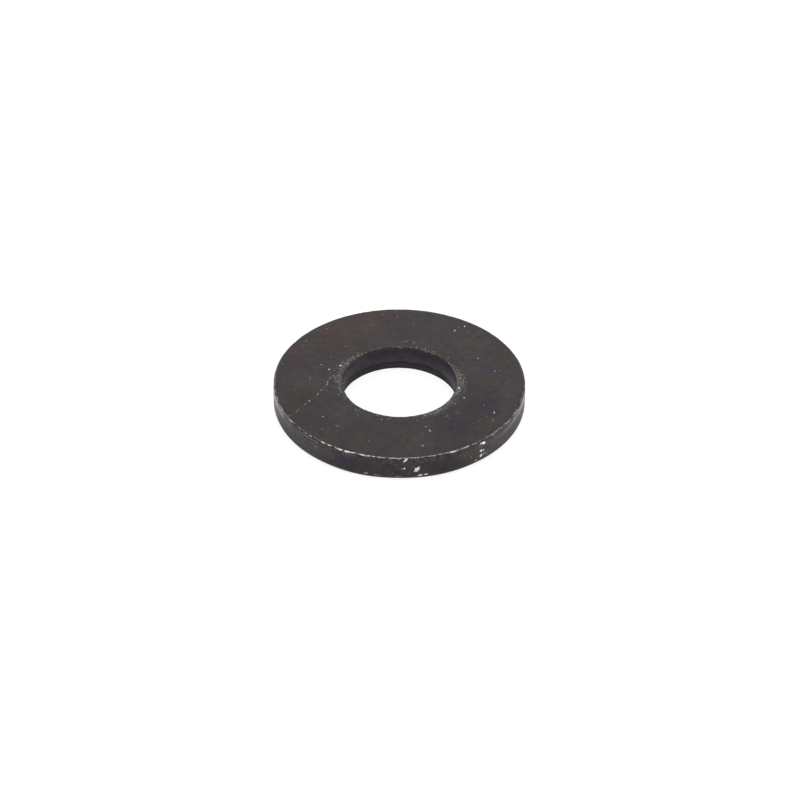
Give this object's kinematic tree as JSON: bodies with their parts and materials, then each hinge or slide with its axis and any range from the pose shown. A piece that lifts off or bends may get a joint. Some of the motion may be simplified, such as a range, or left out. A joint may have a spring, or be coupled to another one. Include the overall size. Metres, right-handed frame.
{
  "type": "flat washer",
  "caption": "Plain round flat washer punched from steel sheet, with a rolled hole rim, a torn lower bore and a thin black finish.",
  "frame": {"origin": "centre of the hole, on the bottom face, which rests on the surface", "axes": "+Z along the hole's axis, from the bottom face to the top face, whose hole rim is rolled over; X and Y lie across the washer and are interchangeable"},
  "size_m": [0.0158, 0.0158, 0.0016],
  "materials": {
    "blackened_steel": "satin"
  },
  "bodies": {
    "root": {"washer": "blackened_steel"}
  },
  "joints": []
}
